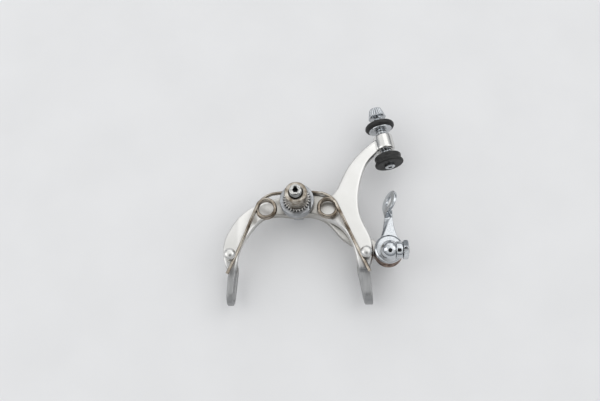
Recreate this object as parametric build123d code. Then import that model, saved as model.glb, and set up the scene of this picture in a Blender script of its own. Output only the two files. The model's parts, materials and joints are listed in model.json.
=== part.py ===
from build123d import *
import math
import os

# Single-pivot side-pull rim brake caliper. Millimetres. The origin is on the mounting bolt's axis at the
# mounting face; +Z runs rearward along the bolt, +Y is up on the bicycle and +X is the cable side.

# --- driving dimensions -------------------------------------------------------------------------------
bolt_r = 3.0                # M6 mounting bolt
journal_r = 4.0             # plain journal that the two arms turn on
journal_clearance = 0.05    # radial, arm bore on journal
shank_r = 2.8               # unthreaded stretch through the block, washer and collar
bolt_tip_z = 12.0
collar_r, collar_h, collar_chamfer = 5.4, 8.5, 0.5
bolt_front_z, hex_af, hex_depth = -21.2, 2.5, 2.6
serrated_r, serrated_t, tooth_count = 6.9, 1.2, 28
block_r, block_z = 8.35, (-5.5, -1.2)
end_float = 0.05            # axial gap on each side of a washer between turning faces
rear_arm_z = (-11.0, -6.0)      # adjuster arm, hub thickness
front_arm_z = (-15.5, -11.5)    # anchor arm, hub thickness
hub_r = 5.4
left_lift = 4.0             # how far the anchor arm's left branch is cranked rearward
pad_plate_z = (-19.0, -7.6)
pad_slot_w, pad_slot_y = 6.2, (-44.0, -32.5)
plate_front_round, plate_rear_round = 5.5, 5.0
front_washer_r, front_washer_t, front_nut_h, nut_af = 4.9, 0.8, 2.4, 8.0
brass_r, rear_brass_t = 5.4, 0.4
cap_nut_h, cap_hex_h = 4.55, 1.55

wire_r = 0.85               # return spring wire
coil_xy, coil_mean_r = (14.9, -3.9), 4.4
coil_z = (-5.85, -0.3)
spring_bridge_y, spring_bend_x, spring_z = 5.2, 8.2, -4.45
right_leg = ((18.8, -2.6, -3.0), (34.3, -35.2, -5.0))
left_leg = ((-18.9, -2.6, -3.0), (-33.2, -35.6, -5.0))
post_right, post_left = (32.9, -26.2), (-32.1, -26.5)
post_r, head_r = 1.6, 2.9
head_z = (-3.4, -1.0)

boss_at = (43.6, 32.3, -8.5)    # centre of the adjuster boss
adjuster_lean = 11.5            # degrees the adjuster axis leans from +Y towards -X
boss_r, boss_s = 4.9, (-4.3, 3.7)   # boss radius and its ends along the axis
tube_r, cable_r, housing_r, tube_end = 2.5, 1.0, 2.6, -13.6
wheel_clearance = 0.05
anchor_axis = (43.6, -25.1)     # quick-release stud
eye_r = 5.2                 # the front arm's eye round that stud
throw = 2.5                     # eccentric offset of the cable anchor
anchor_z = 3.5                  # height of the pinch bolt's axis
drum_r, drum_z = 6.8, (-11.45, -4.5)
lever_boss_r, lever_boss_z = 6.9, (-4.5, -1.9)
step_r, step_top = 5.8, -1.3
paddle_at, paddle_r, paddle_t = (44.3, -3.5, 2.5), 5.6, 1.6
paddle_lean, paddle_twist = 16, 64
stud_r = 2.5
release_washer_t, release_nut_h, release_nut_af = 0.8, 3.4, 7.0
pin_r = 2.0                 # eccentric pin that the anchor turns on
dome_r, seam_x, cable_x = 4.6, 2.4, 1.2
pinch_r, pinch_af = 2.0, 8.0
nut_x, pinch_end = 5.8, 8.8

# --- outlines, rear view ------------------------------------------------------------------------------
rear_arm_runs = [
    [(0, 7.0), (7, 5.9), (12.5, 4.0), (16.6, 3.7)],
    [(16.6, 3.7), (19.2, 6.9), (21.8, 12.4), (24.9, 18.6), (29.0, 24.0), (34.2, 29.3), (39.6, 33.8)],
    [(39.6, 33.8), (41.5, 28.6)],
    [(41.5, 28.6), (38.8, 25.4), (35.8, 22.2), (33.1, 17.4), (31.4, 12.0), (30.3, 6.7), (29.9, 0.4),
     (30.4, -4.8), (32.3, -11.0), (34.8, -16.4), (36.1, -21.5), (36.2, -26.5), (34.9, -31.5)],
    [(34.9, -31.5), (34.4, -34.0)],
    [(34.4, -34.0), (29.2, -34.0)],
    [(29.2, -34.0), (27.9, -27.0), (26.5, -21.5), (23.6, -15.6), (19.6, -11.4), (15.0, -8.9), (9.5, -7.0),
     (5.0, -5.8), (0, -5.4)],
    [(0, -5.4), (0, 7.0)],
]
front_arm_runs = [
    [(0, 7.0), (-7, 6.0), (-13, 3.8), (-21.2, 0.2), (-25.9, -3.3), (-30.1, -7.8), (-33.0, -12.4),
     (-34.9, -16.3), (-36.0, -22.0), (-35.5, -28.0), (-33.7, -33.0)],
    [(-33.7, -33.0), (-33.2, -34.5)],
    [(-33.2, -34.5), (-29.6, -34.5)],
    [(-29.6, -34.5), (-28.9, -28.0), (-27.6, -22.4), (-25.0, -16.8), (-21.5, -11.2), (-16.6, -6.2),
     (-11.5, -4.6), (-6, -4.8), (0, -5.4)],
    [(0, -5.4), (6.0, -5.0), (10.0, -6.0), (13.5, -7.8), (18.0, -12.4), (21.5, -16.6), (27.4, -20.8),
     (33.5, -24.4), (40.6, -29.3)],
    [(40.6, -29.3), (44.4, -20.0)],
    [(44.4, -20.0), (37.4, -18.0), (30.0, -12.6), (23.0, -6.0), (16.0, 0.6), (8.0, 5.2), (0, 7.0)],
]
plate_end_y = -49.2
right_plate = [(27.0, -23.0), (29.2, -34.0), (31.9, plate_end_y), (35.7, plate_end_y), (34.4, -34.0),
               (32.4, -23.0)]
left_plate = [(-28.2, -23.0), (-29.6, -34.5), (-30.7, plate_end_y), (-33.9, plate_end_y), (-33.2, -34.5),
              (-32.6, -23.0)]


def write(shape, node):
    export_step(shape, f"parts/{node}.step")


def face_of(runs):
    """Closed flat face whose border is the given runs: two points make a line, more make a curve."""
    edges = [Line(*run) if len(run) == 2 else Spline(*run) for run in runs]
    return make_face(edges)


def prism(face, z):
    return Pos(0, 0, z[0]) * extrude(face, z[1] - z[0])


def rod(r, z, at=(0, 0)):
    """Round rod along Z between two heights."""
    return Pos(at[0], at[1], z[0]) * Cylinder(r, z[1] - z[0], align=(Align.CENTER, Align.CENTER, Align.MIN))


def ring(inner, outer, z, at=(0, 0)):
    return rod(outer, z, at) - rod(inner, z, at)


def hexagon(af, z, at=(0, 0)):
    face = RegularPolygon(af / 2, 6, major_radius=False)
    return Pos(at[0], at[1], z[0]) * extrude(face, z[1] - z[0])


def turned(profile):
    """Solid of revolution about Z from (radius, height) points."""
    return revolve(make_face(Polyline(*[(r, 0, z) for r, z in profile], close=True)), Axis.Z)


def pad_plate(outline):
    """Plate that carries a brake pad: thin across X, deep along Z, with a slot for the pad's bolt."""
    body = prism(make_face(Polyline(*outline, close=True)), pad_plate_z)
    low, high = pad_plate_z
    side = Polyline((0, -22.9, high), (0, plate_end_y, high), (0, plate_end_y, low), (0, -31.5, low),
                    (0, -27.6, -10.9), (0, -22.9, -10.9), close=True)
    body &= Pos(-60, 0, 0) * extrude(make_face(side), 120, dir=(1, 0, 0))
    ends = body.edges().filter_by_position(Axis.Y, plate_end_y - 0.1, plate_end_y + 0.1)
    front, rear = [group[0] for group in (ends.group_by(Axis.Z)[0], ends.group_by(Axis.Z)[-1])]
    body = fillet(front, plate_front_round)
    body = fillet(body.edges().filter_by_position(Axis.Y, plate_end_y - 0.1, plate_end_y + 0.1)
                  .group_by(Axis.Z)[-1], plate_rear_round)
    middle = (low + high) / 2
    half = pad_slot_w / 2
    slot = Box(30, pad_slot_y[1] - pad_slot_y[0], pad_slot_w)
    slot += Pos(0, (pad_slot_y[0] - pad_slot_y[1]) / 2, 0) * Rot(0, 90, 0) * Cylinder(half, 30)
    slot += Pos(0, (pad_slot_y[1] - pad_slot_y[0]) / 2, 0) * Rot(0, 90, 0) * Cylinder(half, 30)
    centre_x = sum(x for x, _ in outline) / len(outline)
    return body - Pos(centre_x, sum(pad_slot_y) / 2, middle) * slot


def along_adjuster(shape):
    """Places a shape built along +Z from the boss centre onto the adjuster's axis."""
    return Pos(*boss_at) * Rot(0, 0, adjuster_lean) * Rot(-90, 0, 0) * shape


def rear_arm():
    plate = prism(face_of(rear_arm_runs), rear_arm_z) + rod(hub_r, rear_arm_z)
    rims = plate.edges().group_by(Axis.Z)
    plate = fillet(rims[-1], 1.0)
    plate = fillet(plate.edges().group_by(Axis.Z)[0], 1.0)
    boss = along_adjuster(chamfer(rod(boss_r, boss_s).edges(), 0.4))
    arm = plate + boss + pad_plate(right_plate)
    arm -= rod(journal_r + journal_clearance, rear_arm_z)
    arm -= rod(post_r, (rear_arm_z[1] - 3, head_z[0]), post_right)
    arm -= along_adjuster(Cylinder(tube_r + wheel_clearance, 20))
    return arm


def front_arm():
    """The front arm is flat at the hub and the eye; its left branch is cranked up to the rear arm's level."""
    low, high = front_arm_z
    lift = left_lift
    crank = Polyline((-60, 0, low + lift), (-60, 0, high + lift), (-29, 0, high + lift), (-13, 0, high),
                     (60, 0, high), (60, 0, low), (-13, 0, low), (-29, 0, low + lift), close=True)
    band = Pos(0, -60, 0) * extrude(make_face(crank), 120, dir=(0, 1, 0))
    plate = prism(face_of(front_arm_runs), (low, high + lift)) & band
    plate += rod(hub_r, front_arm_z) + rod(eye_r, front_arm_z, anchor_axis)
    arm = plate + pad_plate(left_plate)
    arm -= rod(journal_r + journal_clearance, front_arm_z)
    arm -= rod(stud_r, front_arm_z, anchor_axis)
    return arm - rod(post_r, (high + lift - 3, head_z[0]), post_left)


def spring_post(at, face):
    stem = rod(post_r, (face - 3, head_z[0]), at)
    low, high = head_z
    dome = turned([(0, low), (head_r, low), (head_r, low + 0.7), (2.4, high - 0.7), (1.5, high - 0.2),
                   (0, high)])
    return stem + Pos(*at, 0) * dome


def return_spring():
    """Straight stretches and closed coil sleeves that hold the spring wire's real place and size."""
    def bar(a, b):
        run = Vector(*b) - Vector(*a)
        return Plane(origin=a, z_dir=run) * rod(wire_r, (0, run.length))

    bend = (spring_bend_x, spring_bridge_y, spring_z)
    onto_coil = (coil_xy[0] + wire_r, coil_xy[1] + coil_mean_r + 0.6, spring_z)
    side = bar((0, spring_bridge_y, spring_z), bend) + Pos(*bend) * Sphere(wire_r) + bar(bend, onto_coil)
    side += ring(coil_mean_r - wire_r, coil_mean_r + wire_r, coil_z, coil_xy)
    return side + mirror(side, Plane.YZ) + bar(*right_leg) + bar(*left_leg)


def spring_block():
    block = rod(block_r, block_z) - rod(bolt_r, block_z)
    slot_w = 2 * wire_r + 0.1
    block -= Pos(0, spring_bridge_y, spring_z - 1) * Box(3 * block_r, slot_w, slot_w + 2)
    groove = Pos(6.3, -3.0, block_z[1]) * Box(0.7, 4.2, 2.4)
    rim = (block - groove).edges().filter_by(GeomType.CIRCLE).group_by(Axis.Z)[-1]
    return fillet(rim.filter_by(lambda e: e.radius > 8), 0.5)


def serrated_washer():
    washer = rod(serrated_r, (-serrated_t, 0)) - rod(bolt_r, (-serrated_t, 0))
    notch = Pos(serrated_r, 0, 0) * Rot(0, 0, 45) * Box(0.8, 0.8, 1.6)
    for i in range(tooth_count):
        washer -= Rot(0, 0, 360 * i / tooth_count) * notch
    return washer


def mounting_bolt():
    """Threaded front end, journal, plain shank and the threaded rear end that stands out of the collar."""
    front_end, thread_start = front_arm_z[0] - end_float, collar_h + 0.1
    tip_chamfer = 0.5
    bolt = turned([(0, bolt_front_z), (bolt_r, bolt_front_z), (bolt_r, front_end), (journal_r, front_end),
                   (journal_r, block_z[0]), (shank_r, block_z[0]), (shank_r, thread_start),
                   (bolt_r, thread_start), (bolt_r, bolt_tip_z - tip_chamfer),
                   (bolt_r - tip_chamfer, bolt_tip_z), (0, bolt_tip_z)])
    return bolt - hexagon(hex_af, (bolt_tip_z - hex_depth, bolt_tip_z))


def collar():
    """Round spacer with a dished rear face."""
    shoulder = collar_h - collar_chamfer
    return turned([(bolt_r, 0), (collar_r, 0), (collar_r, shoulder), (collar_r - collar_chamfer, collar_h),
                   (bolt_r + 0.9, collar_h), (bolt_r + 0.5, shoulder), (bolt_r, shoulder)])


def cap_nut(top):
    """Domed nut on the bolt's front end: hexagon, then a dome over the blind thread."""
    hexed = hexagon(nut_af, (top - cap_hex_h, top))
    low = top - cap_nut_h
    base = top - cap_hex_h
    dome = turned([(0, base), (3.8, base), (3.7, base - 0.8), (3.0, low + 0.9), (2.0, low + 0.3), (0.9, low),
                   (0, low)])
    return hexed + dome - rod(bolt_r, (bolt_front_z, top))


def ferrule_tube():
    """Tube with the fluted conical head that takes the cable housing, and the lower grip's neck."""
    head = turned([(0, 14.2), (4.5, 14.2), (4.5, 14.9), (3.25, 18.9), (3.0, 19.2), (0, 19.2)])
    for i in range(18):
        tilt = math.degrees(math.atan2(1.25, 4.0))
        flute = Rot(0, 0, 20 * i) * Pos(4.15, 0, 16.9) * Rot(0, -tilt, 0) * Cylinder(0.32, 5.4)
        head -= flute
    body = head + rod(tube_r, (tube_end, 14.2))
    body -= rod(cable_r, (tube_end, 14.6))
    return along_adjuster(body - rod(housing_r, (14.6, 19.3)))


def adjuster_pieces():
    bore = tube_r + wheel_clearance
    seat = turned([(bore, 6.2), (3.2, 6.2), (5.9, 7.1), (5.9, 7.5), (bore, 7.5)])
    wheel = turned([(bore, 7.6), (5.9, 7.6), (4.75, 8.25), (4.75, 9.6), (5.6, 10.4), (bore, 10.4)])
    o_ring = Pos(0, 0, 9.1) * Torus(5.9, 1.55)
    core = turned([(tube_r, -11.8), (3.9, -11.8), (3.9, -7.4), (3.4, -7.4), (3.4, -6.2), (tube_r, -6.2)])
    grip = turned([(2.6, -12.3), (6.6, -12.3), (7.25, -11.8), (7.2, -11.0), (6.55, -10.2), (6.4, -9.4),
                   (6.7, -8.4), (6.7, -7.8), (6.3, -7.3), (3.95, -7.35), (3.95, -11.85), (2.6, -11.85)])
    shapes = {"seat_washer": seat, "adjusting_wheel": wheel, "wheel_o_ring": o_ring - wheel,
              "grip_core": core, "rubber_grip": grip}
    return {name: along_adjuster(shape) for name, shape in shapes.items()}


def release_lever():
    """Lever: round boss with a step, tapering blade, and a round finger paddle twisted out of its plane."""
    at = anchor_axis
    boss = rod(lever_boss_r, lever_boss_z, at)
    boss = fillet(boss.edges().group_by(Axis.Z)[-1], 0.9) + rod(step_r, (lever_boss_z[0], step_top), at)
    blade = make_face(Polyline((38.3, -21.2), (40.4, -17.0), (41.9, -9.6), (45.9, -9.6), (46.9, -13.0),
                               (49.4, -21.2), close=True))
    blade = prism(blade, (-4.0, -2.4))
    turn = Pos(*paddle_at) * Rot(0, 0, -paddle_lean) * Rot(0, -paddle_twist, 0)
    paddle = turn * (Cylinder(paddle_r, paddle_t) - Pos(0, 0.6, 0) * Cylinder(2.2, 3))
    low = Plane(origin=(43.9, -9.7, -3.2), x_dir=(1, 0, 0), z_dir=(0, 1, 0)) * Rectangle(4.0, 1.6)
    high = turn * Pos(-1.5, -3.9, 0) * Rot(90, 0, 0) * Rectangle(5.0, paddle_t)
    return boss + blade + loft([low, high]) + paddle


def along_pinch(shape):
    """Places a shape built along +Z onto the pinch stud, which runs along +X from the anchor's centre."""
    return Pos(anchor_axis[0], anchor_axis[1] - throw, anchor_z) * Rot(0, 90, 0) * shape


def anchor_body():
    """Domed body with an integral threaded stud; it turns on the eccentric pin and the cable crosses it."""
    at = (anchor_axis[0], anchor_axis[1] - throw)
    low = step_top + end_float
    dome = rod(dome_r, (low, anchor_z), at) + (Pos(*at, anchor_z) * Sphere(dome_r) & rod(dome_r, (0, 9), at))
    dome -= Pos(at[0] + seam_x + 5, at[1], 0) * Box(10, 30, 30)
    dome -= rod(pin_r + 0.05, (low, 0.6), at)
    dome += along_pinch(rod(pinch_r, (seam_x - 0.3, pinch_end)))
    return dome - Pos(at[0] + cable_x, at[1], anchor_z) * Rot(90, 0, 0) * Cylinder(cable_r, 20)


def pinch_pieces():
    collar_x = (seam_x + 0.1, nut_x)
    nut = hexagon(pinch_af, (nut_x, pinch_end - 0.4)) - rod(pinch_r + 0.05, (nut_x, pinch_end))
    return {"pinch_collar": along_pinch(ring(pinch_r + 0.05, 4.0, collar_x)), "pinch_nut": along_pinch(nut)}


def cam_drum():
    """Drum under the lever's boss; it turns on the stud with the lever."""
    return ring(stud_r + 0.05, drum_r, drum_z, anchor_axis)


def stack_pieces():
    """Washers and nuts on the mounting bolt, and the round fixings of the quick release."""
    rear, front = rear_arm_z, front_arm_z
    nut_top = front[0] - end_float - front_washer_t
    cap_top = nut_top - front_nut_h
    low = front[0]
    release_nut_z = (low - release_washer_t - release_nut_h, low - release_washer_t)
    stud_z = (release_nut_z[0] - 0.4, lever_boss_z[0] - 0.3)
    return {
        "rear_brass_washer": ring(journal_r, brass_r, (block_z[0] - rear_brass_t, block_z[0])),
        "middle_brass_washer": ring(journal_r + 0.1, brass_r, (front[1] + end_float, rear[0] - end_float)),
        "front_washer": ring(bolt_r, front_washer_r, (nut_top, front[0] - end_float)),
        "front_nut": hexagon(nut_af, (cap_top, nut_top)) - rod(bolt_r, (cap_top, nut_top)),
        "cap_nut": cap_nut(cap_top),
        "release_stud": rod(stud_r, stud_z, anchor_axis),
        "release_washer": ring(stud_r, 4.8, (low - release_washer_t, low), anchor_axis),
        "release_nut": (hexagon(release_nut_af, release_nut_z, anchor_axis)
                        - rod(stud_r, release_nut_z, anchor_axis)),
    }


def eccentric_journal():
    """Short pin, pressed in the lever's boss off centre, that the anchor turns on."""
    return rod(pin_r, (lever_boss_z[0] + 0.5, 0.5), (anchor_axis[0], anchor_axis[1] - throw))


os.makedirs("parts", exist_ok=True)
pin = eccentric_journal()
nodes = {
    "mounting_bolt": mounting_bolt(),
    "spacer_collar": collar(),
    "serrated_washer": serrated_washer(),
    "spring_block": spring_block(),
    "return_spring": return_spring(),
    "adjuster_arm": rear_arm(),
    "anchor_arm": front_arm(),
    "right_spring_post": spring_post(post_right, rear_arm_z[1]),
    "left_spring_post": spring_post(post_left, front_arm_z[1] + left_lift),
    "ferrule_tube": ferrule_tube(),
    "cam_drum": cam_drum(),
    "release_lever": release_lever() - pin,
    "eccentric_pin": pin,
    "anchor_body": anchor_body(),
    **adjuster_pieces(),
    **pinch_pieces(),
    **stack_pieces(),
}
for node, shape in nodes.items():
    write(shape, node)
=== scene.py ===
# %% [markdown]
# # A side-pull rim brake caliper
# The caliper lies on a pale table on its front face, with its mounting bolt pointing up. Its frame came
# from a CAD program, where every node has its real size and place. This script rebuilds the pieces whose
# shape CAD left plain and gives every piece its finish. Units are metres, with +Z along the bolt, away from
# the table. Sizes are written in millimetres and scaled by MM.

# %% Load the frame
import json
import math

import bmesh
import bpy
import numpy as np
from mathutils import Euler, Matrix, Vector


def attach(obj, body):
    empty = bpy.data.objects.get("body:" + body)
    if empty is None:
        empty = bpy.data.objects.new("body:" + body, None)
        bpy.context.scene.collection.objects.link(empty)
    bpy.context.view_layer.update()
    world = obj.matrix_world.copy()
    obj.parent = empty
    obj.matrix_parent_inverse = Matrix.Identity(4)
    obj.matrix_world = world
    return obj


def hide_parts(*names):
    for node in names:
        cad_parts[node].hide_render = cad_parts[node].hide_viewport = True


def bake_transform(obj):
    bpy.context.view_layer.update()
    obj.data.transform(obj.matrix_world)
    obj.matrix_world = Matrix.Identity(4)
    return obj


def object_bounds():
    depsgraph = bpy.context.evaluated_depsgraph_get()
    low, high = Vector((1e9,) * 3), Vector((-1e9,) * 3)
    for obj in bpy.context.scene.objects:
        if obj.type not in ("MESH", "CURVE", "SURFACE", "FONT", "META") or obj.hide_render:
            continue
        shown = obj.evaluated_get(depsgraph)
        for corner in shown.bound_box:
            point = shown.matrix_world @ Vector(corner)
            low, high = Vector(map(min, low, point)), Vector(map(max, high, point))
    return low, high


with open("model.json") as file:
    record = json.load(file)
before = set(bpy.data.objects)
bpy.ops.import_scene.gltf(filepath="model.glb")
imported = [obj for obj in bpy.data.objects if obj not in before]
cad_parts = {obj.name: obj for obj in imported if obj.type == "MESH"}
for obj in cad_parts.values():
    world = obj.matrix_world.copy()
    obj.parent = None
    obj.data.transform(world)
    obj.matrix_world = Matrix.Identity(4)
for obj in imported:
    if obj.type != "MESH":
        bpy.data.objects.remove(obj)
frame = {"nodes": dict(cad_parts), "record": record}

scene = bpy.context.scene
nodes = frame["nodes"]
cad_low, cad_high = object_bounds()
body_of = {node: body for body, names in frame["record"]["behaviour"]["bodies"].items() for node in names}
MM = 0.001

# %% [markdown]
# ## Camera
# The camera looks steeply down on the caliper from just right of the wheel side, about 37 cm away, the way a
# person holds one over a table. The lens is a 45 mm on a 36 mm wide sensor. A small roll keeps the caliper's
# width level in the picture.

# %% Camera
aim = Vector((1.22, 1.94, -8.0)) * MM
azimuth, elevation, roll = math.radians(7.97), math.radians(69.15), math.radians(-8.46)
camera_distance = 369.9 * MM

towards_camera = Vector((math.sin(azimuth) * math.cos(elevation), -math.cos(azimuth) * math.cos(elevation),
                         math.sin(elevation)))
camera_data = bpy.data.cameras.new("camera")
camera_data.lens, camera_data.sensor_width = 45.0, 36.0
camera_data.clip_start, camera_data.clip_end = 0.01, 10.0
camera = bpy.data.objects.new("camera", camera_data)
scene.collection.objects.link(camera)
camera.location = aim + towards_camera * camera_distance
camera.rotation_mode = "QUATERNION"
level = (-towards_camera).to_track_quat("-Z", "Y")
camera.rotation_quaternion = level @ Matrix.Rotation(roll, 4, "Z").to_quaternion()
scene.camera = camera
print("camera at", tuple(round(x, 4) for x in camera.location))

# %% [markdown]
# ## Colour and node helpers
# Colours are written as sRGB hex values, as a paint chart gives them, and turned to the linear values that
# the renderer works in. One function adds a shader node, sets it and links it, and gives back the output that
# the next node needs. A real surface is never even, so each finish starts from noise whose lumps have a real
# size in millimetres.

# %% Colour and node helpers
RAMP, RANGE, MIX, BUMP = "ShaderNodeValToRGB", "ShaderNodeMapRange", "ShaderNodeMix", "ShaderNodeBump"
FACTOR, UNDER, OVER, MIXED = 0, 6, 7, 2  # sockets of a Mix node that works on colours


def colour(hex_value):
    """Linear RGBA from an sRGB hex value such as "#C8C6C1"."""
    channels = [int(hex_value[i:i + 2], 16) / 255 for i in (1, 3, 5)]
    return [c / 12.92 if c <= 0.04045 else ((c + 0.055) / 1.055) ** 2.4 for c in channels] + [1.0]


def feed(tree, node, inputs):
    """Sets a node's inputs, each to a value or to the socket that feeds it."""
    for name, value in inputs.items():
        if isinstance(value, bpy.types.NodeSocket):
            tree.links.new(value, node.inputs[name])
        else:
            node.inputs[name].default_value = value


def add_node(tree, kind, inputs, output=0, stops=(), **settings):
    """Adds a node and gives back one of its outputs; stops are a ramp's (place, hex or grey) pairs."""
    made = tree.nodes.new(kind)
    for name, value in settings.items():
        setattr(made, name, value)
    feed(tree, made, inputs)
    for _ in stops[2:]:
        made.color_ramp.elements.new(0.5)
    for element, (position, shade) in zip(made.color_ramp.elements if stops else (), stops):
        element.position = position
        element.color = colour(shade) if isinstance(shade, str) else (shade, shade, shade, 1)
    return made.outputs[output]


def new_material(name):
    """A material with its node tree, its Principled shader and its object coordinates."""
    material = bpy.data.materials.new(name)
    material.use_nodes = True
    tree = material.node_tree
    place = add_node(tree, "ShaderNodeTexCoord", {}, "Object")
    return material, tree, tree.nodes["Principled BSDF"], place


def grain(tree, place, size_mm, detail=3.0, stretch=(1, 1, 1)):
    """Noise with lumps of about size_mm across; a stretch below 1 draws them out along that axis."""
    spread = add_node(tree, "ShaderNodeMapping", {"Vector": place, "Scale": stretch})
    return add_node(tree, "ShaderNodeTexNoise", {"Vector": spread, "Scale": 1 / (size_mm * MM),
                                                 "Detail": detail}, "Fac")


# Painted shade and grime: an occlusion mask darkens the colour in corners and narrow gaps.
def shade_and_grime_in_corners(tree, clean, reach_mm, strength, shade_and_dirt, low, high):
    """A colour darkened in the corners narrower than the reach: painted shade, with grime."""
    open_air = add_node(tree, "ShaderNodeAmbientOcclusion", {"Distance": reach_mm * MM}, "AO", samples=8)
    corner_shade_ramp = add_node(tree, RAMP, {"Fac": open_air}, stops=((low, shade_and_dirt), (high, "#FFFFFF")))
    return add_node(tree, MIX, {FACTOR: strength, UNDER: clean, OVER: corner_shade_ramp}, MIXED, data_type="RGBA",
                    blend_type="MULTIPLY")


print("white is", [round(c, 3) for c in colour("#FFFFFF")])

# %% [markdown]
# ## Forged aluminium, tumbled and hand polished
# The two arms are hot forged, trimmed, then tumbled and buffed. The metal stays silky rather than mirror
# bright: fine grain across the faces, a few rubbed marks, and a greyer, rougher skin on the pad plates. The
# adjuster boss is polished brighter. Round the bolt the metal is greyer. The deep branch, low under the rear
# arm, is greyed with painted shade, and painted shade and grime darken the corners. The zones are set by
# where the metal is, in the arm's own coordinates.

# %% Aluminium
PLATE_START, PLATE_FULL = -0.0285, -0.0335
BOSS_START, BOSS_FULL = 0.0265, 0.0300
# The arm is greyer round the bolt, out to these distances from it.
GREY_NEAR_FULL, GREY_NEAR_END, GREYEST = 0.012, 0.021, 0.75
# Painted shade: below these heights the deep branch is greyed where the rear arm shades it.
DEEP_FULL, DEEP_START = -0.0122, -0.0108
CLOUD_MM, FINE_MM, RUBBED_MM = 9.0, 0.6, 0.35


def forged_aluminium():
    material, tree, shader, place = new_material("aluminium_forged_buffed")
    y = add_node(tree, "ShaderNodeSeparateXYZ", {"Vector": place}, "Y")
    z = add_node(tree, "ShaderNodeSeparateXYZ", {"Vector": place}, "Z")
    from_bolt = add_node(tree, "ShaderNodeVectorMath", {0: place}, "Value", operation="LENGTH")
    clouds = grain(tree, place, CLOUD_MM)
    fine = grain(tree, place, FINE_MM, 5.0)
    rubbed = grain(tree, place, RUBBED_MM, 2.0, (1, 0.06, 1))
    face = add_node(tree, RAMP, {"Fac": clouds}, stops=((0.3, "#D9D8D5"), (0.7, "#E3E2E0")))
    plate = add_node(tree, RAMP, {"Fac": rubbed}, stops=((0.3, "#9A9B9C"), (0.7, "#AFAFAF")))
    darker_grey = add_node(tree, RAMP, {"Fac": fine}, stops=((0.35, "#98948C"), (0.65, "#B4B1AB")))
    on_plate = add_node(tree, RANGE, {"Value": y, "From Min": PLATE_START, "From Max": PLATE_FULL})
    near_bolt = add_node(tree, RANGE, {"Value": from_bolt, "From Min": GREY_NEAR_FULL, "From Max": GREY_NEAR_END,
                                       "To Min": GREYEST, "To Max": 0.0})
    # Painted shade on the deep branch, low under the rear arm.
    deep = add_node(tree, RANGE, {"Value": z, "From Min": DEEP_FULL, "From Max": DEEP_START,
                                  "To Min": GREYEST, "To Max": 0.0})
    grey_and_shade_mask = add_node(tree, "ShaderNodeMath", {0: near_bolt, 1: deep}, operation="MAXIMUM")
    # The face turns greyer round the bolt and takes painted shade on the deep branch.
    greyed_face = add_node(tree, MIX, {FACTOR: grey_and_shade_mask, UNDER: face, OVER: darker_grey}, MIXED, data_type="RGBA")
    clean = add_node(tree, MIX, {FACTOR: on_plate, UNDER: greyed_face, OVER: plate}, MIXED, data_type="RGBA")
    smooth = add_node(tree, RANGE, {"Value": clouds, "From Min": 0.2, "From Max": 0.8, "To Min": 0.30,
                                    "To Max": 0.40})
    polished = add_node(tree, RANGE, {"Value": y, "From Min": BOSS_START, "From Max": BOSS_FULL,
                                      "To Min": 1.0, "To Max": 0.45})
    skin_rough = add_node(tree, "ShaderNodeMath", {0: smooth, 1: polished}, operation="MULTIPLY")
    plate_rough = add_node(tree, RANGE, {"Value": on_plate, "To Max": 0.16})
    rough = add_node(tree, "ShaderNodeMath", {0: skin_rough, 1: plate_rough}, operation="ADD")
    pitted = add_node(tree, BUMP, {"Height": fine, "Strength": 0.25, "Distance": 0.02 * MM})
    relief = add_node(tree, BUMP, {"Height": rubbed, "Strength": 0.2, "Distance": 0.02 * MM,
                                   "Normal": pitted})
    # The corners take painted shade and grime.
    feed(tree, shader, {"Base Color": shade_and_grime_in_corners(tree, clean, 1.6, 0.75, "#6F695F", 0.25, 0.8),
                        "Roughness": rough, "Normal": relief, "Metallic": 1.0})
    return material


aluminium = forged_aluminium()
print(aluminium.name, len(aluminium.node_tree.nodes), "shader nodes")

# %% [markdown]
# ## Chrome plate
# The quick release, the cable anchor and the adjuster are chromed: a mirror with a faint blue-grey cast,
# hairline scratches from handling, small dull specks where dirt has settled and brown rust pin-pricks. A
# single glossy grey would look like plastic, so the roughness follows the same specks as the colour.

# %% Chrome
SPECK_MM, RUST_MM, HAIRLINE_MM = 0.8, 0.9, 0.25


def chrome_plate():
    material, tree, shader, place = new_material("chrome_plate_worn")
    specks = grain(tree, place, SPECK_MM, 6.0)
    hairlines = grain(tree, place, HAIRLINE_MM, 2.0, (0.05, 1, 1))
    clean = add_node(tree, RAMP, {"Fac": specks},
                     stops=((0.35, "#BFC3C7"), (0.62, "#D0D3D6"), (0.80, "#A2A29F")))
    rust = add_node(tree, RAMP, {"Fac": grain(tree, place, RUST_MM, 2.0)}, stops=((0.70, 0.0), (0.74, 1.0)))
    spotted = add_node(tree, MIX, {FACTOR: rust, UNDER: clean, OVER: colour("#6B5443")}, MIXED,
                       data_type="RGBA")
    rough = add_node(tree, RANGE, {"Value": specks, "From Min": 0.40, "From Max": 0.75, "To Min": 0.05,
                                   "To Max": 0.20})
    scratched = add_node(tree, BUMP, {"Height": hairlines, "Strength": 0.06, "Distance": 0.01 * MM})
    # The corners take painted shade and grime.
    feed(tree, shader, {"Base Color": shade_and_grime_in_corners(tree, spotted, 0.9, 0.8, "#3E3A34", 0.2, 0.75),
                        "Roughness": rough, "Normal": scratched, "Metallic": 1.0})
    return material


chrome = chrome_plate()
print(chrome.name, len(chrome.node_tree.nodes), "shader nodes")

# %% [markdown]
# ## Steel and brass, bright and tarnished
# The bolt is plain bright steel, the spring's block is machined to a satin face and the toothed washer is
# oily. The collar's zinc has gone tan with grime, the spring wire is brown where its oil film has dried, and
# the quick release's drum is a dark rusty brown. The thin washers between the arms are dull brass. These all
# wear in patches, so one function makes them from three shades, a patch size and a roughness range.

# %% Steel and brass
PIT_MM = 0.3


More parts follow.
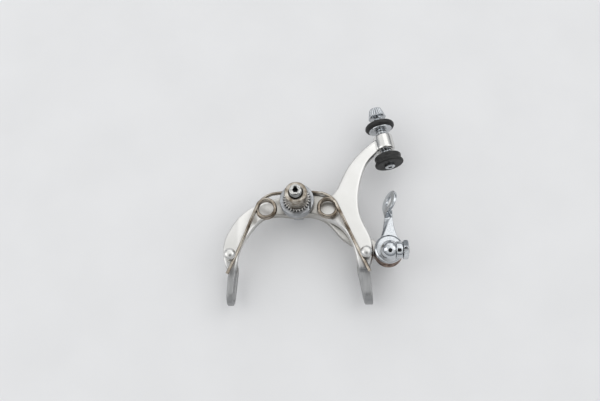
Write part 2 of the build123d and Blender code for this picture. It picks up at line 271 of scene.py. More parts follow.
def tarnished_metal(name, dark, middle, light, patch_mm, rough_low, rough_high):
    material, tree, shader, place = new_material(name)
    patches = grain(tree, place, patch_mm, 6.0)
    skin_colour = add_node(tree, RAMP, {"Fac": patches}, stops=((0.34, dark), (0.5, middle), (0.66, light)))
    rough = add_node(tree, RANGE, {"Value": patches, "From Min": 0.3, "From Max": 0.7, "To Min": rough_high,
                                   "To Max": rough_low})
    pitted = add_node(tree, BUMP, {"Height": grain(tree, place, PIT_MM, 4.0), "Strength": 0.3,
                                   "Distance": 0.03 * MM})
    # The corners take painted shade and grime.
    feed(tree, shader, {"Base Color": shade_and_grime_in_corners(tree, skin_colour, 0.9, 0.8, "#2E2A24", 0.2, 0.8),
                        "Roughness": rough, "Normal": pitted, "Metallic": 1.0})
    print(name, "patches of", patch_mm, "mm")
    return material


bright_steel = tarnished_metal("steel_turned_bright", "#8E8D8B", "#BDBDBB", "#D2D2D0", 1.2, 0.14, 0.30)
machined_disc = tarnished_metal("steel_machined_satin", "#97999C", "#A9ABAE", "#B9BBBE", 3.0, 0.28, 0.40)
grimy_zinc = tarnished_metal("zinc_plate_grimy", "#857A6B", "#B3ABA0", "#CFCAC1", 2.6, 0.22, 0.42)
tooth_steel = tarnished_metal("steel_toothed_oily", "#8A8886", "#B3B1AE", "#CFCDCA", 1.4, 0.16, 0.34)
spring_steel = tarnished_metal("spring_steel_tarnished", "#6A5E50", "#A0968A", "#C6BFB4", 6.0, 0.12, 0.26)
rusty_drum = tarnished_metal("steel_rusted_brown", "#4B3A30", "#7C6253", "#9A8475", 2.4, 0.34, 0.56)
dull_brass = tarnished_metal("brass_dull", "#6B5526", "#A58A4A", "#C2A868", 1.5, 0.25, 0.45)

# %% [markdown]
# ## Black rubber and the socket's painted shade
# The O-ring and the grip are moulded nitrile rubber: near black, with a broad soft sheen and a dusting of
# grey. The bolt's hex socket is painted just as dark, but dull, as painted shade in the hole. Neither is pure
# black, because a pure black surface loses its shape.

# %% Rubber and socket shade
def black_rubber():
    material, tree, shader, place = new_material("nitrile_rubber_moulded")
    dust = grain(tree, place, 1.1, 5.0)
    dusty = add_node(tree, RAMP, {"Fac": dust}, stops=((0.45, "#131313"), (0.72, "#2A2A29")))
    rough = add_node(tree, RANGE, {"Value": dust, "From Min": 0.3, "From Max": 0.8, "To Min": 0.40,
                                   "To Max": 0.66})
    moulded = add_node(tree, BUMP, {"Height": grain(tree, place, 0.2), "Strength": 0.25,
                                    "Distance": 0.03 * MM})
    feed(tree, shader, {"Base Color": dusty, "Roughness": rough, "Normal": moulded})
    return material


# Painted shade: a dull near-black paint for the inside of the bolt's socket.
def socket_shade_paint():
    material, tree, shader, place = new_material("socket_painted_shade_black")
    near_black_shade = add_node(tree, RAMP, {"Fac": grain(tree, place, 0.5)}, stops=((0.4, "#0E0D0C"), (0.7, "#1D1B19")))
    feed(tree, shader, {"Base Color": near_black_shade, "Roughness": 0.7})
    return material


rubber = black_rubber()
socket_shade = socket_shade_paint()
print(len(bpy.data.materials), "materials so far")

# %% [markdown]
# ## Fitting a rebuilt piece
# A rebuilt piece takes the place of one CAD node, which is hidden. It rides on that node's body, so that it
# moves as the node would, and gets its own material. Its faces are shaded smooth, apart from edges sharper
# than about 35 degrees.

# %% Fitting
SHARP = math.radians(35)


def finish_faces(piece, material):
    """Gives a piece its material and shades it smooth, apart from its sharp edges."""
    piece.data.materials.clear()
    piece.data.materials.append(material)
    piece.data.polygons.foreach_set("use_smooth", [True] * len(piece.data.polygons))
    piece.data.set_sharp_from_angle(angle=SHARP)


def fit(piece, node, material):
    """Finishes a rebuilt piece and puts it in a CAD node's place."""
    finish_faces(piece, material)
    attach(piece, body_of[node])
    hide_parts(node)
    return piece


def object_from(name, grid, place=None):
    """Object from a bmesh in millimetres, placed by a matrix that is in millimetres too."""
    bmesh.ops.recalc_face_normals(grid, faces=grid.faces)
    data = bpy.data.meshes.new(name)
    grid.to_mesh(data)
    grid.free()
    data.transform(Matrix.Scale(MM, 4) @ (place or Matrix.Identity(4)))
    piece = bpy.data.objects.new(name, data)
    scene.collection.objects.link(piece)
    return piece


print("sharp edges from", round(math.degrees(SHARP)), "degrees")

# %% [markdown]
# ## Turned pieces
# Most small parts of a brake come off a lathe. `turned` spins an outline of radius and height about Z, and
# a shape function may then cut each ring: into a hexagon, flutes, teeth or a thread. `soften` first rounds
# the outline's corners, because a real edge is never perfectly sharp, and a round edge is what catches the
# light. A Screw modifier could spin an outline too, but it can't change the shape from ring to ring.

# %% Turning
def soften(outline, radius, steps=4):
    """Rounds an outline's corners. One that starts on the axis is open and keeps its two ends."""
    points = [Vector(p) for p in outline]
    solid = points[0].x == 0
    made = []
    for i, corner in enumerate(points):
        if solid and i in (0, len(points) - 1):
            made.append(tuple(corner))
            continue
        before, after = points[i - 1] - corner, points[(i + 1) % len(points)] - corner
        cut = min(radius, before.length * 0.45, after.length * 0.45)
        start, end = corner + before.normalized() * cut, corner + after.normalized() * cut
        for k in range(steps + 1):
            t = k / steps
            made.append(tuple(start * (1 - t) ** 2 + corner * 2 * t * (1 - t) + end * t * t))
    return made


def turned(name, outline, shape=None, place=None, segments=96):
    """Closed body of revolution about Z; shape(radius, height, angles) gives each ring's radii."""
    angles = np.arange(segments) * 2 * math.pi / segments
    grid = bmesh.new()
    rings = []
    for radius, height in outline:
        if radius == 0:
            rings.append([grid.verts.new((0, 0, height))])
            continue
        radii = shape(radius, height, angles) if shape else np.full(segments, radius)
        rings.append([grid.verts.new((r * math.cos(a), r * math.sin(a), height))
                      for r, a in zip(radii, angles)])
    pairs = list(zip(rings, rings[1:]))
    if len(rings[0]) > 1:
        pairs.append((rings[-1], rings[0]))
    for low, high in pairs:
        for i in range(segments):
            j = (i + 1) % segments
            corners = [low[i % len(low)], low[j % len(low)], high[j % len(high)], high[i % len(high)]]
            grid.faces.new(list(dict.fromkeys(corners)))
    return object_from(name, grid, place)


def hexed(across_flats, above=0.0):
    """Shape that trims rings wider than above to a hexagon."""
    def shape(radius, height, angles):
        flat = (across_flats / 2) / np.cos((angles % (math.pi / 3)) - math.pi / 6)
        return np.minimum(radius, flat) if radius > above else np.full(len(angles), radius)
    return shape


def threaded(low, high, major, pitch, depth, otherwise=None):
    """Shape with a V thread between two heights on rings of about the major radius."""
    def shape(radius, height, angles):
        if not (low <= height <= high and abs(radius - major) < 0.05):
            return otherwise(radius, height, angles) if otherwise else np.full(len(angles), radius)
        turn = (height / pitch - angles / (2 * math.pi)) % 1
        return radius - depth * np.abs(2 * turn - 1)
    return shape


def stations(low, high, step):
    """Heights from low to high, about a step apart."""
    return np.linspace(low, high, max(2, round((high - low) / step) + 1))


print("a 1 mm pitch thread on 3.4 mm takes", len(stations(0, 3.4, 0.1)), "rings")


# %% [markdown]
# ## Mounting bolt and collar
# The M6 bolt's end stands out of the collar, with a small hex socket in it. A thread this size has a 1 mm
# pitch, so it is cut as real grooves. The socket is painted near black, as painted shade. The collar is a
# plain turned spacer whose end has a shallow dish round the bolt.

# %% Mounting bolt and collar
BOLT_R, SHANK_R, JOURNAL_R, PITCH, THREAD_DEPTH = 3.0, 2.8, 4.0, 1.0, 0.45
FRONT_Z, JOURNAL_LOW, JOURNAL_TOP, THREAD_Z, TIP_Z = -21.2, -15.55, -5.5, 8.6, 12.0
SOCKET_AF, SOCKET_R, SOCKET_FLOOR = 2.5, 1.44, 9.4
COLLAR_R, COLLAR_TOP = 5.4, 8.5

bolt_outline = [(0, FRONT_Z), (2.6, FRONT_Z), (BOLT_R, FRONT_Z + 0.4), (BOLT_R, -15.6),
                (JOURNAL_R, JOURNAL_LOW), (JOURNAL_R, JOURNAL_TOP), (SHANK_R, JOURNAL_TOP),
                (SHANK_R, THREAD_Z - 0.1)]
bolt_outline += [(BOLT_R, z) for z in stations(THREAD_Z, TIP_Z - 0.45, PITCH / 10)]
bolt_outline += [(2.75, TIP_Z - 0.15), (2.5, TIP_Z), (1.75, TIP_Z), (SOCKET_R, TIP_Z - 0.25),
                 (SOCKET_R, SOCKET_FLOOR), (0.6, SOCKET_FLOOR - 0.4), (0, SOCKET_FLOOR - 0.4)]


def bolt_shape(radius, height, angles):
    if radius == SOCKET_R:
        return hexed(SOCKET_AF)(radius, height, angles)
    return threaded(THREAD_Z, TIP_Z - 0.4, BOLT_R, PITCH, THREAD_DEPTH)(radius, height, angles)


bolt = fit(turned("mounting_bolt_m6", bolt_outline, bolt_shape), "mounting_bolt", bright_steel)
bolt.data.materials.append(socket_shade)
# The socket's walls and floor take the painted shade.
for face in bolt.data.polygons:
    x, y, z = face.center / MM
    if math.hypot(x, y) < SOCKET_R + 0.05 and SOCKET_FLOOR - 1 < z < TIP_Z - 0.2:
        face.material_index = 1

collar_outline = soften([(3.0, 0.02), (5.35, 0.02), (COLLAR_R, 0.5), (COLLAR_R, 8.1), (4.95, COLLAR_TOP),
                         (3.6, COLLAR_TOP), (3.15, 8.1), (3.0, 8.0)], 0.2)
fit(turned("collar_turned", collar_outline), "spacer_collar", grimy_zinc)
print("bolt", round(TIP_Z - FRONT_Z, 1), "mm long, socket", round(TIP_Z - SOCKET_FLOOR, 1), "mm deep")

# %% [markdown]
# ## Serrated washer
# The washer under the collar bites into the frame with its teeth. Each tooth is a rounded ridge, and the
# shape function cuts the valleys between them deepest at the rim. Twelve points round each tooth keep the
# ridges round.

# %% Serrated washer
TEETH, TOOTH_DEPTH, TOOTH_ROOT, RIM_R, POINTS_A_TOOTH = 28, 1.3, 5.45, 6.9, 12


def toothed(radius, height, angles):
    if radius < TOOTH_ROOT + 0.1:
        return np.full(len(angles), radius)
    ridge = 0.5 + 0.5 * np.cos(TEETH * angles)
    return radius - TOOTH_DEPTH * (1 - ridge ** 0.8) * (radius - TOOTH_ROOT) / (RIM_R - TOOTH_ROOT)


washer_outline = [(3.05, -1.2), (6.5, -1.2), (6.8, -1.1), (RIM_R, -0.9), (RIM_R, -0.5), (6.75, -0.25),
                  (6.45, -0.1), (6.0, -0.02), (TOOTH_ROOT, -0.02), (3.05, -0.02)]
fit(turned("washer_serrated", washer_outline, toothed, segments=TEETH * POINTS_A_TOOTH), "serrated_washer",
    tooth_steel)
print(TEETH, "teeth,", round(2 * math.pi * RIM_R / TEETH, 2), "mm apart at the rim")

# %% [markdown]
# ## Melted edges of the forgings
# CAD joins plates and bosses along sharp inside corners, but a forging has none: metal flowed into every
# corner.
# A fine voxel remesh turns a copy of the CAD mesh into one even skin, and a smoothing pass melts its edges.
# This keeps the size to about a tenth of a millimetre. Bevelling was the other way, but it can't fill inside
# corners. The spring's block is a plain machined disc with a slot in it, and it gets the same treatment with
# a finer skin.

# %% Forged arms and block
def melted(source, voxel_mm, passes):
    """Mesh of an object as one even skin with melted edges."""
    remesh = source.modifiers.new("skin", "REMESH")
    remesh.mode, remesh.voxel_size = "VOXEL", voxel_mm * MM
    melt = source.modifiers.new("melt", "SMOOTH")
    melt.factor, melt.iterations = 0.5, passes
    data = bpy.data.meshes.new_from_object(source.evaluated_get(bpy.context.evaluated_depsgraph_get()))
    source.modifiers.clear()
    print(source.name, len(data.polygons), "faces")
    return data


def forged(name, node, voxel_mm, passes):
    """Copy of a CAD node with melted edges."""
    piece = bpy.data.objects.new(name, nodes[node].data.copy())
    scene.collection.objects.link(piece)
    piece.data = melted(piece, voxel_mm, passes)
    piece.data.name = name
    return piece


ARM_VOXEL, BLOCK_VOXEL, LEVER_VOXEL = 0.32, 0.16, 0.14
fit(forged("adjuster_arm_forged", "adjuster_arm", ARM_VOXEL, 14), "adjuster_arm", aluminium)
fit(forged("anchor_arm_forged", "anchor_arm", ARM_VOXEL, 26), "anchor_arm", aluminium)
fit(forged("spring_block_machined", "spring_block", BLOCK_VOXEL, 8), "spring_block", machined_disc)

# %% [markdown]
# ## Return spring
# One wire returns both arms. It starts in the block, passes over each coil, winds in towards the coil's last
# turn and leaves it as a straight leg under the post's head. On the brake the coils stay with the bolt and
# the legs' ends follow the arms. Here each half is a tube along the wire's route. A bevelled curve would draw
# the same tube.

# %% Spring route
WIRE_R = 0.82
COIL_X, COIL_Y = 14.9, -3.9
TURN_R, TURNS, LEAD_ANGLE, EXIT_ANGLE = 4.4, 2, 108, 25.5
LEAD_OUT, LEAD_FADE, LEG_DROP = 4.3, 38, 0.62
BRIDGE_Y, BRIDGE_Z, LAST_TURN_Z = 5.2, -4.9, -1.7


def right_route(leg_end):
    """Points along the right half of the wire, in millimetres, from the block to the leg's end."""
    route = [Vector((x, BRIDGE_Y, BRIDGE_Z + 0.4)) for x in (0, 3.5)]
    last = EXIT_ANGLE - 360 * TURNS
    for angle in np.arange(LEAD_ANGLE, last, -6.0):
        wound = (LEAD_ANGLE - angle) / (LEAD_ANGLE - last)
        radius = TURN_R + LEAD_OUT * math.exp(-(LEAD_ANGLE - angle) / LEAD_FADE)
        height = BRIDGE_Z + (LAST_TURN_Z - BRIDGE_Z) * max(0.0, wound * 1.1 - 0.1)
        way = math.radians(angle)
        route.append(Vector((COIL_X + radius * math.cos(way), COIL_Y + radius * math.sin(way), height)))
    way = math.radians(EXIT_ANGLE)
    start = Vector((COIL_X + TURN_R * math.cos(way), COIL_Y + TURN_R * math.sin(way), LAST_TURN_Z))
    end = Vector(leg_end)
    for share in np.linspace(0, 1, 14):
        point = start.lerp(end, share)
        drop = min(1.0, share / LEG_DROP)
        point.z = start.z + (end.z - start.z) * drop * drop * (3 - 2 * drop)
        route.append(point)
    return route


def wire(name, route, radius, sides=20):
    """Round wire along a list of points, with its ends closed by flat, inset caps."""
    grid = bmesh.new()
    count = len(route)
    normal = Vector((0, 0, 1))
    rings = []
    for i, point in enumerate(route):
        along = (route[min(i + 1, count - 1)] - route[max(i - 1, 0)]).normalized()
        normal = (normal - along * normal.dot(along)).normalized()
        across = along.cross(normal)
        ring = []
        for k in range(sides):
            a = 2 * math.pi * k / sides
            ring.append(grid.verts.new(point + (normal * math.cos(a) + across * math.sin(a)) * radius))
        rings.append(ring)
    for low, high in zip(rings, rings[1:]):
        for k in range(sides):
            j = (k + 1) % sides
            grid.faces.new((low[k], low[j], high[j], high[k]))
    for ring in (rings[0], rings[-1]):
        cap = grid.faces.new(ring)
        bmesh.ops.inset_region(grid, faces=[cap], thickness=radius * 0.15)
    return object_from(name, grid)


halves = {
    "right": (1, (34.3, -35.2, -5.0), "rear_arm"),
    "left": (-1, (33.2, -35.6, -5.0), "front_arm"),
}
for side, (sign, leg_end, arm) in halves.items():
    route = [Vector((sign * p.x, p.y, p.z)) for p in right_route(leg_end)]
    half = wire("return_spring_" + side, route, WIRE_R)
    finish_faces(half, spring_steel)
    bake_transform(half)
    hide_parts("return_spring")
    length = sum((b - a).length for a, b in zip(route, route[1:]))
    print(half.name, "wire length", round(length, 1), "mm")

# %% [markdown]
# ## Spring posts
# Each post is a stub with a mushroom head, turned from aluminium and burnished by the spring to a pearly
# dome. The spring's leg rests against the stub, under the head.

# %% Spring posts
POSTS = {"right_spring_post": (32.9, -26.2, -9.0), "left_spring_post": (-32.1, -26.5, -10.5)}
for node, (x, y, foot) in POSTS.items():
    head = [(0, foot), (1.6, foot), (1.6, -3.4), (2.6, -3.4), (2.9, -3.1), (2.88, -2.7), (2.7, -2.2),
            (2.3, -1.7), (1.7, -1.3), (0.9, -1.07), (0, -1.0)]
    fit(turned(node + "_turned", head, place=Matrix.Translation((x, y, 0)), segments=64), node, aluminium)
    print(node, "stands", round(-1.0 - foot, 1), "mm high")

# %% [markdown]
# ## Cable adjuster's barrel
# The adjuster's pieces share one axis, which leans in the plane of the arm, so all of them are turned about
# Z and then placed by one matrix. The barrel has a fine thread for the wheel, and its ferrule head has
# flutes to grip.

# %% Cable adjuster's barrel
ADJUSTER = (Matrix.Translation((43.6, 32.3, -8.5)) @ Matrix.Rotation(math.radians(11.5), 4, "Z")
            @ Matrix.Rotation(math.radians(-90), 4, "X"))
TUBE_R, TUBE_END, TUBE_PITCH, CABLE_R, HOUSING_R = 2.5, -13.6, 0.8, 1.0, 2.6
FLUTES, FLUTE_LOW, FLUTE_HIGH, FLUTE_DEPTH = 18, 14.5, 18.95, 0.34
THREAD_LOW, THREAD_HIGH = -5.9, 13.9


def fluted(radius, height, angles):
    if not FLUTE_LOW < height < FLUTE_HIGH or radius < 3.0:
        return np.full(len(angles), radius)
    valley = np.abs(np.sin(FLUTES * angles / 2)) ** 0.8
    fade = min(1.0, (height - FLUTE_LOW) / 0.6, (FLUTE_HIGH - height) / 0.4)
    return radius - FLUTE_DEPTH * fade * (1 - valley)


ferrule_outline = [(CABLE_R, TUBE_END), (TUBE_R - 0.3, TUBE_END), (TUBE_R, TUBE_END + 0.3), (TUBE_R, -6.0)]
ferrule_outline += [(TUBE_R, s) for s in stations(THREAD_LOW, THREAD_HIGH, TUBE_PITCH / 10)]
ferrule_outline += [(2.6, 14.2), (4.3, 14.2), (4.5, 14.35), (4.5, FLUTE_LOW)]
ferrule_outline += [(4.45 - 1.2 * t, 14.6 + 4.3 * t) for t in np.linspace(0, 1, 14)]
ferrule_outline += [(3.15, 19.1), (3.0, 19.2), (2.75, 19.2), (HOUSING_R, 19.05), (HOUSING_R, 14.6),
                    (CABLE_R, 14.6)]
barrel_thread = threaded(THREAD_LOW, THREAD_HIGH, TUBE_R, TUBE_PITCH, 0.3, fluted)
fit(turned("adjuster_barrel", ferrule_outline, barrel_thread, ADJUSTER, FLUTES * 8), "ferrule_tube", chrome)
print("barrel", round(19.2 - TUBE_END, 1), "mm long,", len(ferrule_outline), "rings")

# %% [markdown]
# ## Adjusting wheel and its O-ring
# The wheel is a bobbin that screws along the barrel and rests on a conical seat. A black O-ring in its groove
# gives the fingers something to hold.

# %% Adjusting wheel and its O-ring
seat_outline = soften([(2.55, 6.2), (3.2, 6.2), (5.8, 7.05), (5.9, 7.5), (2.55, 7.5)], 0.15)
fit(turned("wheel_seat_washer", seat_outline, place=ADJUSTER), "seat_washer", chrome)
wheel_outline = soften([(2.55, 7.6), (5.9, 7.6), (5.85, 7.8), (4.75, 8.3), (4.75, 9.55), (5.6, 10.4),
                        (2.55, 10.4)], 0.2)
fit(turned("adjusting_wheel_bobbin", wheel_outline, place=ADJUSTER), "adjusting_wheel", chrome)

RING_R, RING_HALF, RING_S = 5.9, 1.54, 9.1
ring_outline = [(RING_R + RING_HALF * math.cos(a), RING_S + RING_HALF * math.sin(a))
                for a in np.arange(36) * math.pi / 18]
fit(turned("o_ring_nitrile", ring_outline, place=ADJUSTER), "wheel_o_ring", rubber)
print("O-ring", round(2 * (RING_R + RING_HALF), 1), "mm across")

# %% [markdown]
# ## Rubber grip
# A grip with a waist is moulded round a turned core at the barrel's lower end, below the arm.

# %% Rubber grip
core_outline = soften([(2.5, -11.8), (3.9, -11.8), (3.9, -7.4), (3.4, -7.2), (3.4, -6.2), (2.5, -6.2)], 0.2)
fit(turned("grip_core_turned", core_outline, place=ADJUSTER), "grip_core", bright_steel)
grip_outline = soften([(2.6, -12.25), (6.6, -12.3), (7.25, -11.8), (7.2, -11.0), (6.55, -10.2), (6.4, -9.4),
                       (6.7, -8.4), (6.7, -7.8), (6.3, -7.3), (3.95, -7.35), (3.95, -11.85),
                       (2.6, -11.85)], 0.4)
fit(turned("grip_rubber_waisted", grip_outline, place=ADJUSTER), "rubber_grip", rubber)
print("grip", round(2 * max(radius for radius, height in grip_outline), 1), "mm across")

# %% [markdown]
# ## Quick release's drum, boss and pin
# Turning the lever swings a pin round the stud, off its centre, and so slackens the cable. The drum, the
# lever's stepped boss and the pin are turned pieces.

# %% Quick release's drum, boss and pin
STUD_X, STUD_Y, THROW, PIN_R = 43.6, -25.1, 2.5, 2.0
STUD = Matrix.Translation((STUD_X, STUD_Y, 0))
PIVOT = Matrix.Translation((STUD_X, STUD_Y - THROW, 0))

drum_outline = soften([(2.55, -11.45), (6.75, -11.45), (6.8, -11.0), (6.8, -4.6), (2.55, -4.5)], 0.3)
fit(turned("cam_drum_rusted", drum_outline, place=STUD), "cam_drum", rusty_drum)
boss_outline = soften([(0, -4.5), (6.9, -4.5), (6.9, -2.5), (5.9, -1.9), (5.8, -1.3), (0, -1.3)], 0.35)
fit(turned("release_boss", boss_outline, place=STUD, segments=128), "release_lever", chrome)
pin_outline = soften([(0, -4.0), (PIN_R, -4.0), (PIN_R, 0.5), (0, 0.5)], 0.2)
fit(turned("eccentric_pin_turned", pin_outline, place=PIVOT), "eccentric_pin", bright_steel)
print("the pin swings", THROW, "mm round the stud")

# %% [markdown]
# ## Quick release's lever
# The blade tapers up to a neck that twists into a round finger paddle. The blade is a skin over
# cross-sections with a ridge, which is the bright line on the real lever, and a second skin is the neck. A
# voxel skin then joins blade, neck and paddle into one forging. Joining them by hand, face by face, would
# take many more steps and leave hard seams.

# %% Quick release's lever
PADDLE_AT = Vector((44.3, -3.5, 2.5))
PADDLE_TURN = Euler((0, 0, math.radians(-16))).to_matrix() @ Euler((0, math.radians(-64), 0)).to_matrix()
PADDLE_R, PADDLE_HALF, HOLE_R = 5.55, 0.75, 2.4
BLADE_T, BLADE_EDGE, NECK_HALF = 1.6, 0.3, 0.7


def roof_section(y, left, ridge, right, top, drop):
    """Corner points of the blade across one height: the left side falls away from a ridge."""
    floor = top - BLADE_T
    corners = [(left, floor), (left, top - drop), (ridge, top), (right - BLADE_EDGE, top),
               (right, top - BLADE_EDGE), (right, floor)]
    return [Vector((x, y, z)) for x, z in corners]


def skin(grid, sections):
    """Closed skin over cross-sections of equal point counts."""
    rings = [[grid.verts.new(p) for p in section] for section in sections]
    for low, high in zip(rings, rings[1:]):
        for i in range(len(low)):
            j = (i + 1) % len(low)
            grid.faces.new((low[i], low[j], high[j], high[i]))
    grid.faces.new(rings[0])
    grid.faces.new(rings[-1])


# Each row is y, left edge, ridge, right edge, top of the ridge, and how far the left edge lies below it.
blade_rows = [(-23.5, 37.4, 38.0, 49.8, -2.45, 0.3), (-21.2, 38.4, 39.2, 49.2, -2.4, 0.5),
              (-18.6, 40.0, 41.1, 47.6, -2.35, 0.9), (-15.4, 41.0, 42.4, 46.7, -2.3, 1.2),
              (-12.2, 41.5, 43.6, 46.1, -2.25, 1.3), (-9.8, 41.8, 44.5, 45.8, -2.15, 1.4),
              (-8.2, 42.0, 45.0, 45.9, -2.0, 1.4), (-6.2, 42.3, 45.2, 46.0, -1.4, 1.4)]
neck_foot = [Vector((x, -9.6, z)) for x, z in ((41.9, -4.0), (41.9, -2.4), (45.9, -2.4), (45.9, -4.0))]
neck_top = [PADDLE_AT + PADDLE_TURN @ Vector((u, -3.9, w))
            for u, w in ((-4.0, -NECK_HALF), (-4.0, NECK_HALF), (1.0, NECK_HALF), (1.0, -NECK_HALF))]
grid = bmesh.new()
skin(grid, [roof_section(*row) for row in blade_rows])
skin(grid, [neck_foot, neck_top])
lever = object_from("release_blade", grid)

paddle_outline = soften([(HOLE_R, -PADDLE_HALF), (PADDLE_R, -PADDLE_HALF), (PADDLE_R, PADDLE_HALF),
                         (HOLE_R, PADDLE_HALF)], 0.4)
paddle_place = Matrix.Translation(PADDLE_AT) @ PADDLE_TURN.to_4x4()
paddle = turned("release_paddle", paddle_outline, place=paddle_place)
joined = bmesh.new()
joined.from_mesh(lever.data)
joined.from_mesh(paddle.data)
joined.to_mesh(lever.data)
joined.free()
bpy.data.objects.remove(paddle)
lever.data = melted(lever, LEVER_VOXEL, 10)
fit(lever, "release_lever", chrome)

# %% [markdown]
# ## Cable anchor
# The anchor is a dome over the eccentric pin, flattened where the pinch collar closes on the cable. The dome
# is turned about Z and its side is then pressed flat in code, with a soft rim. A boolean cut would leave a
# rim that is too sharp. Its stud carries the collar and nut.

# %% Cable anchor
DOME_R, SEAM_X, SEAM_SOFT, CENTRE_Z, FLOOR_Z = 4.6, 2.4, 0.12, 3.5, -1.25
PINCH_R, PINCH_PITCH, NUT_AF = 2.0, 0.7, 8.0
PINCH = PIVOT @ Matrix.Translation((0, 0, CENTRE_Z)) @ Matrix.Rotation(math.radians(90), 4, "Y")

dome_outline = [(0, 0.6), (1.9, 0.6), (2.05, 0.4), (2.05, FLOOR_Z), (4.3, FLOOR_Z), (4.5, FLOOR_Z + 0.15),
                (DOME_R, FLOOR_Z + 0.45), (DOME_R, 1.5)]
dome_outline += [(DOME_R * math.cos(a), CENTRE_Z + DOME_R * math.sin(a))
                 for a in np.radians(np.arange(0, 90, 4))]
dome_outline += [(0, CENTRE_Z + DOME_R)]
dome = turned("anchor_dome", dome_outline, segments=128)
for vertex in dome.data.vertices:
    over = vertex.co.x / MM - SEAM_X
    vertex.co.x = (SEAM_X + (over - math.hypot(over, SEAM_SOFT)) / 2) * MM
dome.data.transform(Matrix.Translation(PIVOT.to_translation() * MM))
fit(dome, "anchor_body", chrome)

stud_outline = [(0, 2.0), (PINCH_R, 2.0)] + [(PINCH_R, s) for s in stations(2.3, 8.5, PINCH_PITCH / 10)]
stud_outline += [(1.6, 8.8), (0, 8.8)]
stud_thread = threaded(2.4, 8.45, PINCH_R, PINCH_PITCH, 0.25)
fit(turned("pinch_stud", stud_outline, stud_thread, PINCH), "anchor_body", bright_steel)
pinch_outline = soften([(2.05, 2.52), (3.7, 2.52), (3.98, 3.1), (3.98, 5.0), (3.75, 5.78),
                        (2.05, 5.78)], 0.35)
fit(turned("pinch_collar_turned", pinch_outline, place=PINCH), "pinch_collar", chrome)
nut_outline = [(2.1, 5.82), (3.7, 5.82), (4.35, 6.05), (4.6, 6.3), (4.6, 7.9), (4.35, 8.15), (3.7, 8.38),
               (2.5, 8.38), (2.1, 8.1)]
fit(turned("pinch_nut_hexagon", nut_outline, hexed(NUT_AF, 3.0), PINCH), "pinch_nut", chrome)
print("anchor dome", 2 * DOME_R, "mm across, pinch nut", NUT_AF, "mm across its flats")

# %% [markdown]
# ## Front stack
# Between and in front of the arms are thin washers, a hexagon nut and a domed cap nut on the bolt, and a
# washer and nut on the release's stud. They are turned and then trimmed to hexagons with chamfered corners.
# The caliper lies on this side, so only other views show it.

# %% Front stack
CHAMFER = 0.45


def nut(name, node, low, high, across, bore, material, place=None):
    """Hexagon nut with chamfered ends."""
    corner, edge = across / math.sqrt(3), across * 0.47
    outline = [(bore, low), (edge, low), (corner, low + CHAMFER), (corner, high - CHAMFER), (edge, high),
               (bore + 0.3, high), (bore, high - 0.3)]
    return fit(turned(name, outline, hexed(across, bore + 0.5), place), node, material)


def washer(name, node, inner, outer, low, high, material, place=None):
    """Flat ring with softened edges."""
    outline = soften([(inner, low), (outer, low), (outer, high), (inner, high)], 0.12)
    return fit(turned(name, outline, place=place), node, material)


washer("brass_washer_rear", "rear_brass_washer", 4.0, 5.4, -5.9, -5.5, dull_brass)
washer("brass_washer_middle", "middle_brass_washer", 4.1, 5.4, -11.45, -11.05, dull_brass)
washer("washer_front", "front_washer", 3.0, 4.9, -16.35, -15.55, chrome)
nut("nut_front", "front_nut", -18.75, -16.35, 8.0, 3.0, chrome)
washer("washer_release", "release_washer", 2.5, 4.8, -16.3, -15.5, bright_steel, STUD)
nut("nut_release", "release_nut", -19.7, -16.3, 7.0, 2.5, chrome, STUD)
print("4 washers and 2 nuts")

# %% [markdown]
# ## Cap nut and the release's stud
# A domed nut closes the bolt's front end, so its outline ends in a quarter of an ellipse. The stud of the
# quick release is threaded where its nut sits.

# %% Cap nut and the release's stud
CAP_AF, STUD_R, STUD_PITCH = 8.0, 2.5, 0.8
CAP_DOME_R, CAP_DOME_Z, CAP_DOME_H = 3.8, -20.35, 2.95
cap_outline = [(0, FRONT_Z), (2.9, FRONT_Z), (2.9, -18.85), (3.2, -18.75), (3.76, -18.75), (4.62, -19.1),
               (4.62, -20.0), (3.9, -20.25), (CAP_DOME_R, CAP_DOME_Z)]
cap_outline += [(CAP_DOME_R * math.cos(a), CAP_DOME_Z - CAP_DOME_H * math.sin(a))
                for a in np.radians(np.arange(8, 90, 8))]
cap_outline += [(0, CAP_DOME_Z - CAP_DOME_H)]
fit(turned("cap_nut_domed", cap_outline, hexed(CAP_AF, 3.85)), "cap_nut", chrome)

stud_end = [(0, -20.1), (2.1, -20.1)] + [(STUD_R, z) for z in stations(-19.9, -15.6, STUD_PITCH / 10)]
stud_end += [(STUD_R, -4.8), (0, -4.8)]
end_thread = threaded(-19.95, -16.0, STUD_R, STUD_PITCH, 0.3)
fit(turned("release_stud_m5", stud_end, end_thread, STUD), "release_stud", bright_steel)

# %% [markdown]
# ## Table
# The caliper lies on a plain painted table, pale and matt, whose height is the frame's lowest point. One
# large plane with a faint cloudy paint is enough, because the camera looks down on its middle.

# %% Table
TABLE_SIZE = 3.0


def pale_paint():
    material, tree, shader, place = new_material("painted_table_pale")
    cloudy = add_node(tree, RAMP, {"Fac": grain(tree, place, 40.0, 6.0)},
                      stops=((0.35, "#DEDEDF"), (0.65, "#E1E1E2")))
    feed(tree, shader, {"Base Color": cloudy, "Roughness": 0.8, "Specular IOR Level": 0.15})
    return material


table_z = cad_low.z
bpy.ops.mesh.primitive_plane_add(size=TABLE_SIZE, location=(0, 0, table_z))
table = bpy.context.object
table.name = "table"
table.data.materials.append(pale_paint())
print("table at", round(table_z / MM, 1), "mm")

# %% [markdown]
# ## Studio light
# A soft light above and weaker ones at the sides stand for windows and walls. The studio's walls are darker
# than its ceiling, so that flat metal facing up is bright and polished curves show soft panels with dark
# gaps. A picture of a real room would light it too, but it would put that room in every reflection.

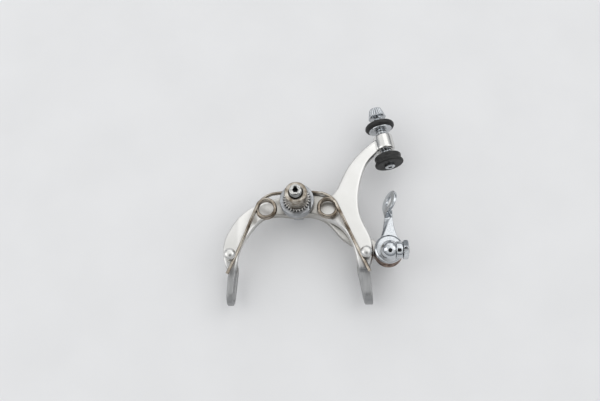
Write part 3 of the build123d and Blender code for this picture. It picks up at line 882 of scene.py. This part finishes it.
# %% Studio light
world = bpy.data.worlds.new("studio")
scene.world = world
world.use_nodes = True
direction = add_node(world.node_tree, "ShaderNodeTexCoord", {}, "Generated")
up = add_node(world.node_tree, "ShaderNodeSeparateXYZ", {"Vector": direction}, "Z")
walls = add_node(world.node_tree, RAMP, {"Fac": up},
                 stops=((0.0, "#74787B"), (0.35, "#B4B6B9"), (0.7, "#FDFEFE")))
feed(world.node_tree, world.node_tree.nodes["Background"], {"Color": walls, "Strength": 1.0})


def soft_light(name, place, size, watts, target=(0, 0, -0.01)):
    """Rectangular lamp that faces a target."""
    lamp = bpy.data.lights.new(name, "AREA")
    lamp.shape, lamp.size, lamp.size_y, lamp.energy = "RECTANGLE", size[0], size[1], watts
    made = bpy.data.objects.new(name, lamp)
    scene.collection.objects.link(made)
    made.location = place
    made.rotation_mode = "QUATERNION"
    made.rotation_quaternion = (Vector(target) - Vector(place)).to_track_quat("-Z", "Y")
    print(name, watts, "W")


soft_light("top_panel", (0.45, 0.40, 1.0), (1.0, 0.8), 1.0)
soft_light("window", (0.0, 1.0, 0.6), (1.2, 0.6), 1.2)
soft_light("left_panel", (-0.75, -0.05, 0.50), (0.5, 0.7), 1.2)
soft_light("right_panel", (0.75, 0.10, 0.50), (0.5, 0.7), 0.8)
scene.view_settings.view_transform = "Standard"

# %% [markdown]
# ## Dark card
# The middle of each chromed dome mirrors what stands in front of it. In a bright room that is the dark shape
# of whoever looks at it, and a round card of dark cloth stands in for them. Only reflections see it.

# %% Dark card
CARD_R, CARD_BEHIND, CARD_DOWN = 0.17, 0.02, -0.02


def dark_cloth():
    material, tree, shader, _ = new_material("dark_cloth")
    feed(tree, shader, {"Base Color": colour("#121214"), "Roughness": 0.9})
    return material


bpy.ops.mesh.primitive_circle_add(vertices=48, radius=CARD_R, fill_type="NGON")
card = bpy.context.object
card.name = "dark_card"
card.location = aim + towards_camera * (camera_distance + CARD_BEHIND) + Vector((0, CARD_DOWN, 0))
card.rotation_mode = "QUATERNION"
card.rotation_quaternion = (-towards_camera).to_track_quat("Z", "Y")
card.visible_camera = False
card.visible_diffuse = False
card.visible_shadow = False
card.data.materials.append(dark_cloth())
print("card", 2 * CARD_R, "m across")
